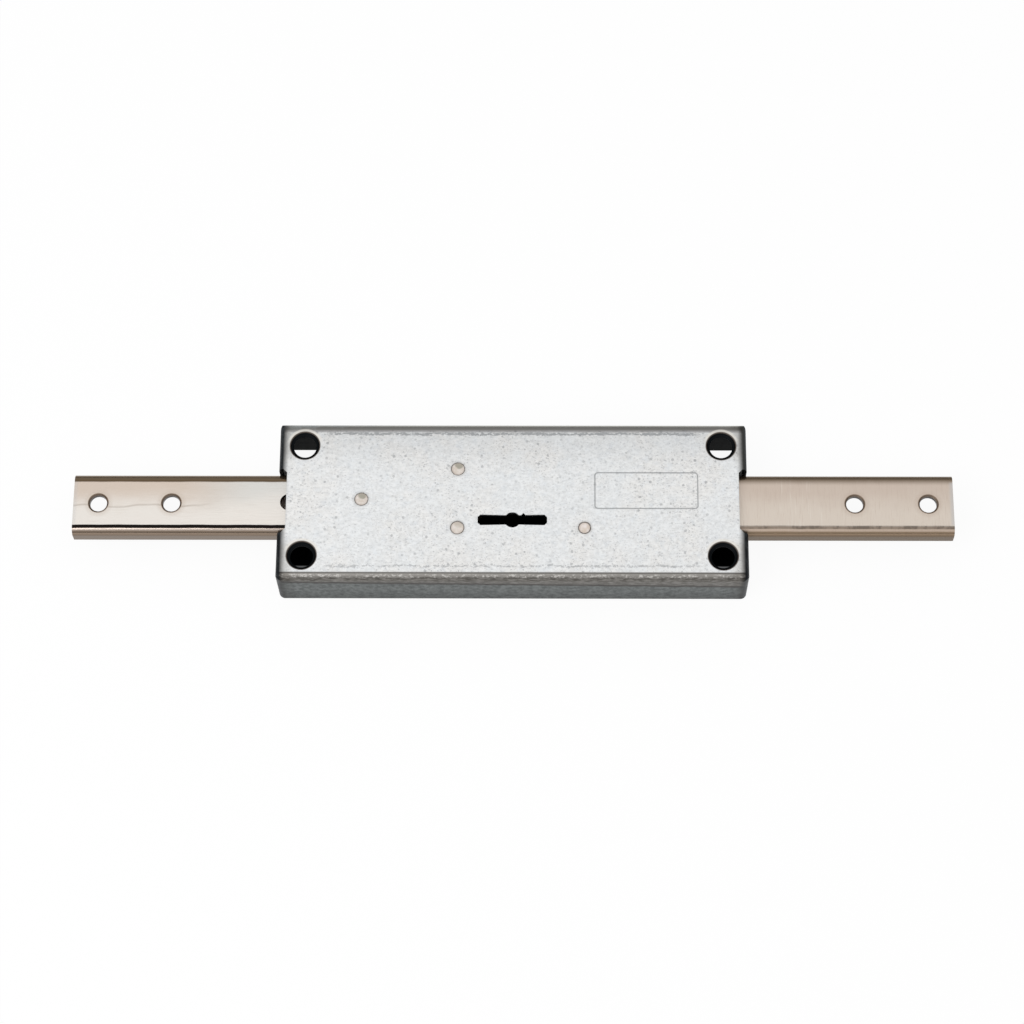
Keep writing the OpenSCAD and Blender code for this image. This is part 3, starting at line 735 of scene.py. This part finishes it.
# The rod holes have a thin brown edge, a countersink darkened with painted shade, and a soft painted shade
# round them
def addRodHoles(tree, look, axes, holeMount, colour):
    shape = boltShape["rodHoles"]
    dims = holeMount["dims"]
    middle = holeMount["pos_m"][0] / mm
    radius = dims["hole_r_mm"] + shape["sinkWidth"]
    layers = (("shade", look["streakColour"]), ("rim", shape["rimColour"]), ("sink", shape["sinkColour"]))
    for x in (middle - dims["spacing_x_mm"] / 2, middle + dims["spacing_x_mm"] / 2):
        away = distanceInPlane(tree, axes, x, 0.0)
        for edge, layerColour in layers:
            colour = mixColours(tree, rampFrom(tree, away, radius, shape[edge]), colour, layerColour)
    return colour


# A faint crease runs through the holes of the left bolt, darkened along it with painted shade
def creaseLine(tree, look, axes, clouds):
    crease = boltShape["crease"]
    along = times(tree, ramp(tree, axes["X"], *look["creaseEnds"]), ramp(tree, clouds, *crease["clouds"]))
    sway = centred(tree, grainOf(tree, crease["sway"]), crease["swayReach"])
    place = calc(tree, "ADD", sway, crease["place"])
    away = sizeOf(tree, calc(tree, "SUBTRACT", axes["Y"], place))
    return times(tree, ramp(tree, away, crease["width"], 0.0), along)


# The bends, painted with light and shade: an olive strip of painted shade on the far one; a black line of
# painted reflection, a light strip tinted with painted shade and a dull flange of painted shade, lighter at
# its top, on the near one; the far flange is painted darker than the web as shade too
def addBends(tree, look, axes, drop, colour):
    bends = boltShape["bends"]
    out = calc(tree, "ADD", axes["Y"], centred(tree, grainOf(tree, bends["wave"]), bends["waveReach"]))
    turned = rampFrom(tree, out, boltFlat, bends["stripTurn"])
    strip = mixColours(tree, turned, look["stripInner"], look["stripColour"])
    colour = mixColours(tree, rampFrom(tree, out, boltFlat, look["stripEdge"]), colour, strip)

    near = calc(tree, "MULTIPLY", out, -1.0)
    colour = tinted(tree, rampFrom(tree, near, boltFlat, bends["ridge"]), colour, look["ridgeTint"])
    breaks = ramp(tree, grainOf(tree, bends["breaks"]), *bends["breakShare"], look["lineStrength"], 1.0)
    line = times(tree, bandFrom(tree, near, boltFlat, *bends["line"]), breaks, look["lineStrength"])
    colour = mixColours(tree, line, colour, bends["lineColour"])

    onNear = times(tree, rampFrom(tree, near, boltFlat, bends["nearFlange"]),
                   ramp(tree, drop, *bends["nearFlangeDrop"]))
    level = times(tree, ramp(tree, drop, *bends["flangeTopDrop"], look["flangeTop"], 1.0),
                  ramp(tree, drop, *bends["flangeLowDrop"], 1.0, look["flangeLow"]))
    colour = mixColours(tree, onNear, colour, shaded(tree, look["flangeColour"], level))
    onFar = times(tree, rampFrom(tree, axes["Y"], boltFlat, bends["farFlange"]),
                  ramp(tree, drop, *bends["farFlangeDrop"]))
    return mixColours(tree, onFar, colour, bends["farFlangeColour"])


# The web's outer end turns down a little, and the grey there is painted reflection; cut faces and the
# channel's inside are painted dark as shade
def addEnds(tree, look, axes, drop, colour):
    bends = boltShape["bends"]
    across = sizeOf(tree, axes["Y"])
    toEnd = rampFrom(tree, sizeOf(tree, axes["X"]), boltEnd, (*bends["tip"], 0.0, look["endGrey"]))
    tip = times(tree, toEnd, rampFrom(tree, across, boltFlat, bends["web"]))
    colour = mixColours(tree, tip, colour, bends["tipColour"])
    sunk = times(tree, ramp(tree, drop, *bends["sunkDrop"]), calc(tree, "LESS_THAN", across, boltFlat))
    return mixColours(tree, sunk, colour, bends["sunkColour"])


def makeNickel(name, look, holeMount):
    shape = boltShape
    material, tree, shader = newMaterial(name)
    axes = splitAxes(tree, coordsInMm(tree))
    clouds = grainOf(tree, shape["clouds"])
    grain = noise(tree, coordsInMm(tree, look["grainStretch"]), **shape["grainSize"])
    relief = times(tree, grain, shape["reliefOfGrain"])
    colour = platingColour(tree, look, axes, clouds, grain)
    if look["scratchEnds"]:
        colour = addScratches(tree, look, axes, colour)
    colour = addRodHoles(tree, look, axes, holeMount, colour)
    if look["creaseEnds"]:
        crease = shape["crease"]
        line = creaseLine(tree, look, axes, clouds)
        # painted shade along the crease, besides its bump
        strength = times(tree, line, crease["strength"])
        colour = mixColours(tree, strength, colour, shape["rodHoles"]["rimColour"])
        relief = calc(tree, "SUBTRACT", relief, times(tree, line, crease["depth"]))
    drop = calc(tree, "SUBTRACT", boltTop, axes["Z"])
    colour = addBends(tree, look, axes, drop, colour)
    colour = addEnds(tree, look, axes, drop, colour)

    tree.links.new(colour, shader.inputs["Base Color"])
    shader.inputs["Metallic"].default_value = shape["metallic"]
    roughness = ramp(tree, grain, *shape["roughGrain"], *look["roughness"])
    tree.links.new(roughness, shader.inputs["Roughness"])
    bump(tree, shader, relief, shape["reliefDepth"], shape["reliefStrength"])
    return material


# Pins and riveted ends: each end that shows has painted shade on one side and a browner rim of painted shade

pinMetal = {
    "clouds": grainKind(0.9, 4.0, 0.6),
    "grain": grainKind(6.0, 2.0, 0.6),
    "darkClouds": (0.3, 0.7),
    "top": (-0.4, -0.2),                        # from the case's top
    "shadePlace": (0.3, 1.1),
    "shadeEdge": (1.9, 1.3),
    "shadeColour": (0.40, 0.38, 0.31),
    "rimStart": (-0.7, 0.0, 0.0, 0.4),          # this and the next one from the rivet's rim
    "rimEnd": (0.6, 0.3),
    "rimColour": (0.50, 0.42, 0.37),
    "metallic": 0.6,
    "roughness": (0.2, 0.8, 0.34, 0.48),
    "reliefDepth": 0.08,
    "reliefStrength": 0.5,
    "colours": {                                # each steel's light and dark clouds
        "pinSteel": ((0.90, 0.84, 0.79), (0.74, 0.66, 0.58)),
        "pivotSteel": ((0.93, 0.86, 0.82), (0.76, 0.66, 0.57)),
    },
}


def makeRivetSteel(name):
    look = pinMetal
    lightColour, darkColour = look["colours"][name]
    material, tree, shader = newMaterial(name)
    axes = splitAxes(tree, coordsInMm(tree))
    clouds = grainOf(tree, look["clouds"])
    colour = mixColours(tree, ramp(tree, clouds, *look["darkClouds"]), lightColour, darkColour)
    top = rampFrom(tree, axes["Z"], caseHeight, look["top"])
    shadeX, shadeY = look["shadePlace"]
    for nodeName, rivet in rivetedEnds.items():
        x, y, _ = centreInMm(nodeName)
        # painted shade on one side of each end
        away = calc(tree, "ADD", distanceInPlane(tree, axes, x + shadeX, y + shadeY), clouds)
        shade = times(tree, ramp(tree, away, *look["shadeEdge"], 0.0, rivet["shade"]), top)
        colour = mixColours(tree, shade, colour, look["shadeColour"])
        # painted shade: browner towards the rim
        around = distanceInPlane(tree, axes, x, y)
        rim = times(tree, bandFrom(tree, around, rivet["radius"], look["rimStart"], look["rimEnd"]), top)
        colour = mixColours(tree, rim, colour, look["rimColour"])
    tree.links.new(colour, shader.inputs["Base Color"])
    shader.inputs["Metallic"].default_value = look["metallic"]
    tree.links.new(ramp(tree, grainOf(tree, look["grain"]), *look["roughness"]), shader.inputs["Roughness"])
    bump(tree, shader, clouds, look["reliefDepth"], look["reliefStrength"])
    return material


# Inner pieces and the back plate: rolled and stamped plate

stampedPlate = {
    "metallic": 1.0,
    "clouds": grainKind(0.35, 4.0, 0.6),
    "grainSize": {"perMm": 5.0, "detail": 3.0, "roughness": 0.65},
    "darkClouds": (0.3, 0.7),
    "darkGrain": (0.45, 0.8, 0.0, 0.35),
    "darkAboveEdge": (0.0, 0.5),
    "roughGrain": (0.2, 0.8),
    "reliefDepth": 0.02,
    "reliefStrength": 0.4,

    # darkAbove is the height from which on the piece lies in the dark of the case
    "finishes": {
        "backZinc": {
            "lightColour": (0.62, 0.64, 0.64),
            "darkColour": (0.46, 0.48, 0.49),
            "roughness": (0.36, 0.50),
            "stretch": (0.4, 1.0, 1.0),
            "darkAbove": 0.75,
        },
        "tailSteel": {
            "lightColour": (0.50, 0.48, 0.45),
            "darkColour": (0.34, 0.32, 0.30),
            "roughness": (0.32, 0.46),
            "stretch": (0.1, 1.0, 1.0),
        },
        "leverBrass": {
            "lightColour": (0.70, 0.54, 0.26),
            "darkColour": (0.52, 0.38, 0.17),
            "roughness": (0.26, 0.40),
            "stretch": (1.0, 0.1, 1.0),
        },
        "springSteel": {
            "lightColour": (0.20, 0.19, 0.18),
            "darkColour": (0.10, 0.10, 0.11),
            "roughness": (0.24, 0.38),
            "stretch": (0.1, 1.0, 1.0),
        },
    },
}


def makeStampedMetal(name):
    look = stampedPlate
    finish = look["finishes"][name]
    material, tree, shader = newMaterial(name)
    clouds = grainOf(tree, look["clouds"])
    grain = noise(tree, coordsInMm(tree, finish["stretch"]), **look["grainSize"])
    darker = ramp(tree, clouds, *look["darkClouds"])
    colour = mixColours(tree, darker, finish["lightColour"], finish["darkColour"])
    colour = mixColours(tree, ramp(tree, grain, *look["darkGrain"]), colour, finish["darkColour"])
    if "darkAbove" in finish:
        height = splitAxes(tree, coordsInMm(tree))["Z"]
        upper = rampFrom(tree, height, finish["darkAbove"], look["darkAboveEdge"])
        colour = mixColours(tree, upper, colour, zincSheet["insideColour"])
    tree.links.new(colour, shader.inputs["Base Color"])
    shader.inputs["Metallic"].default_value = look["metallic"]
    tree.links.new(ramp(tree, grain, *look["roughGrain"], *finish["roughness"]), shader.inputs["Roughness"])
    bump(tree, shader, grain, look["reliefDepth"], look["reliefStrength"])
    return material


caseZinc = makeZincSheet()
backZinc = makeStampedMetal("backZinc")
leftNickel = makeNickel("leftNickel", nickelBright, mounts["left_rod_holes"])
rightNickel = makeNickel("rightNickel", nickelSatin, mounts["right_rod_holes"])
pinSteel = makeRivetSteel("pinSteel")
pivotSteel = makeRivetSteel("pivotSteel")
tailSteel = makeStampedMetal("tailSteel")
leverBrass = makeStampedMetal("leverBrass")
springSteel = makeStampedMetal("springSteel")

finishes = {
    "case_cover": caseZinc,
    "back_plate": backZinc,
    "left_bolt": leftNickel,
    "right_bolt": rightNickel,
    "rocker_pivot": pivotSteel,
    "left_tail": tailSteel,
    "right_tail": tailSteel,
    "rocker": tailSteel,
}
for nodeName in frame["nodes"]:
    if nodeName.startswith("lever_spring"):
        dress(nodeName, springSteel)
    elif nodeName.startswith("lever_"):
        dress(nodeName, leverBrass)
    else:
        dress(nodeName, finishes.get(nodeName, pinSteel))
print("finishes on:", len(frame["nodes"]), "nodes")


# Stage: a white floor that keeps a soft shadow, a bright ceiling and a dim horizon

stage = {
    "floorHalf": 3.0,
    "floorDrop": 0.05,
    "floorColour": (1.0, 1.0, 1.0),
    "floorBounce": (0.35, 0.35, 0.35),
    "floorGlow": 0.93,
    "underCase": (0.02, 0.02, 0.02),
    "underEdge": (-0.2, -1.4),                  # from the case's outline
    "ceilingLight": 1.04,
    "horizonLight": 0.26,
    "horizonRise": (0.12, 0.70),
    "keySize": 0.5,
    "keyPower": 2.5,
    "keyPlace": (-0.45, -0.35, 0.75),
}


# 1 for rays of the given kinds
def isSeen(tree, *kinds):
    path = tree.nodes.new("ShaderNodeLightPath")
    total = path.outputs[kinds[0]]
    for kind in kinds[1:]:
        total = calc(tree, "MAXIMUM", total, path.outputs[kind])
    return total


def mixShaders(tree, factor, first, second):
    node = tree.nodes.new("ShaderNodeMixShader")
    for socket, value in zip(node.inputs, (factor, first.outputs[0], second.outputs[0])):
        tree.links.new(value, socket)
    return node


def makeFloor():
    half = stage["floorHalf"]
    mesh = bpy.data.meshes.new("floor")
    corners = [(-half, -half, 0), (half, -half, 0), (half, half, 0), (-half, half, 0)]
    mesh.from_pydata(corners, [], [(0, 1, 2, 3)])
    floor = bpy.data.objects.new("floor", mesh)
    floor.location.z = -stage["floorDrop"] * mm
    bpy.context.scene.collection.objects.link(floor)
    material = bpy.data.materials.new("floorWhite")
    material.use_nodes = True
    tree = material.node_tree
    tree.nodes.clear()
    output = tree.nodes.new("ShaderNodeOutputMaterial")
    diffuse = tree.nodes.new("ShaderNodeBsdfDiffuse")
    glow = tree.nodes.new("ShaderNodeEmission")
    clear = tree.nodes.new("ShaderNodeBsdfTransparent")

    # Under the case the floor is painted near black as its deep shadow; its far half is seen white, through
    # the two far corner holes
    axes = splitAxes(tree, coordsInMm(tree))
    under = times(tree, rampFrom(tree, sizeOf(tree, axes["X"]), caseHalfLength, stage["underEdge"]),
                  rampFrom(tree, sizeOf(tree, axes["Y"]), caseHalfWidth, stage["underEdge"]))
    fromCamera = isSeen(tree, "Is Camera Ray")
    pale = mixColours(tree, fromCamera, stage["floorBounce"], stage["floorColour"])
    tree.links.new(mixColours(tree, under, pale, stage["underCase"]), diffuse.inputs["Color"])
    nearHalf = times(tree, under, calc(tree, "LESS_THAN", axes["Y"], 0.0))
    seenDirect = times(tree, fromCamera, calc(tree, "SUBTRACT", 1.0, nearHalf))
    seenMirrored = times(tree, isSeen(tree, "Is Glossy Ray", "Is Transmission Ray"),
                         calc(tree, "SUBTRACT", 1.0, under))
    seen = times(tree, calc(tree, "MAXIMUM", seenDirect, seenMirrored), stage["floorGlow"])
    upper = mixShaders(tree, seen, diffuse, glow)

    # From underneath the floor is clear, and light reaches the back plate through it
    geometry = tree.nodes.new("ShaderNodeNewGeometry")
    upward = times(tree, under, isSeen(tree, "Is Diffuse Ray", "Is Glossy Ray"))
    isClear = calc(tree, "MAXIMUM", geometry.outputs["Backfacing"], upward)
    tree.links.new(mixShaders(tree, isClear, upper, clear).outputs[0], output.inputs["Surface"])
    mesh.materials.append(material)


# The camera sees plain white, and the lock is lit by a sky that is dim at the horizon
def makeWorld():
    world = bpy.data.worlds.new("studio")
    bpy.context.scene.world = world
    world.use_nodes = True
    tree = world.node_tree
    tree.nodes.clear()
    output = tree.nodes.new("ShaderNodeOutputWorld")
    sky = tree.nodes.new("ShaderNodeBackground")
    white = tree.nodes.new("ShaderNodeBackground")
    white.inputs["Color"].default_value = (1, 1, 1, 1)
    coords = tree.nodes.new("ShaderNodeTexCoord")
    rise = splitAxes(tree, coords.outputs["Generated"])["Z"]
    level = ramp(tree, rise, *stage["horizonRise"], stage["horizonLight"], stage["ceilingLight"])
    tree.links.new(level, sky.inputs["Strength"])
    mix = mixShaders(tree, isSeen(tree, "Is Camera Ray"), sky, white)
    tree.links.new(mix.outputs[0], output.inputs["Surface"])


def makeKeyLamp():
    lamp = bpy.data.lights.new("keyLamp", "AREA")
    lamp.size = stage["keySize"]
    lamp.energy = stage["keyPower"]
    holder = bpy.data.objects.new("keyLamp", lamp)
    holder.location = stage["keyPlace"]
    holder.rotation_mode = "QUATERNION"
    holder.rotation_quaternion = (-Vector(stage["keyPlace"])).to_track_quat("-Z", "Y")
    bpy.context.scene.collection.objects.link(holder)


# Camera: the photograph's view, as fitted to the corner holes, the case corners and the bolt ends

cameraFit = {
    "elevation": 68.45,
    "yaw": 2.09,
    "roll": -1.86,
    "focalPixels": 2896.0,
    "framePixels": 1024.0,
    "sensorWidth": 36.0,
    "target": (-0.32 * mm, 2.62 * mm, 0.0),
    "distance": 775.0 * mm,
    "nearest": 0.01,
    "farthest": 20.0,
}


def makeCamera():
    fit = cameraFit
    elevation, yaw, roll = (math.radians(fit[k]) for k in ("elevation", "yaw", "roll"))
    sideways = math.cos(elevation)
    back = Vector((math.sin(yaw) * sideways, -math.cos(yaw) * sideways, math.sin(elevation)))
    level = Vector((0, 0, 1)).cross(back).normalized()
    upright = back.cross(level)
    right = math.cos(roll) * level + math.sin(roll) * upright
    up = math.cos(roll) * upright - math.sin(roll) * level
    lens = bpy.data.cameras.new("photoCamera")
    lens.sensor_width = fit["sensorWidth"]
    lens.lens = fit["focalPixels"] / fit["framePixels"] * fit["sensorWidth"]
    lens.clip_start = fit["nearest"]
    lens.clip_end = fit["farthest"]
    camera = bpy.data.objects.new("photoCamera", lens)
    place = Vector(fit["target"]) + back * fit["distance"]
    turn = Matrix((right, up, back)).transposed()
    camera.matrix_world = Matrix.Translation(place) @ turn.to_4x4()
    bpy.context.scene.collection.objects.link(camera)
    bpy.context.scene.camera = camera


makeFloor()
makeWorld()
makeKeyLamp()
makeCamera()
bpy.context.scene.view_settings.view_transform = "Standard"
print("stage and camera set")
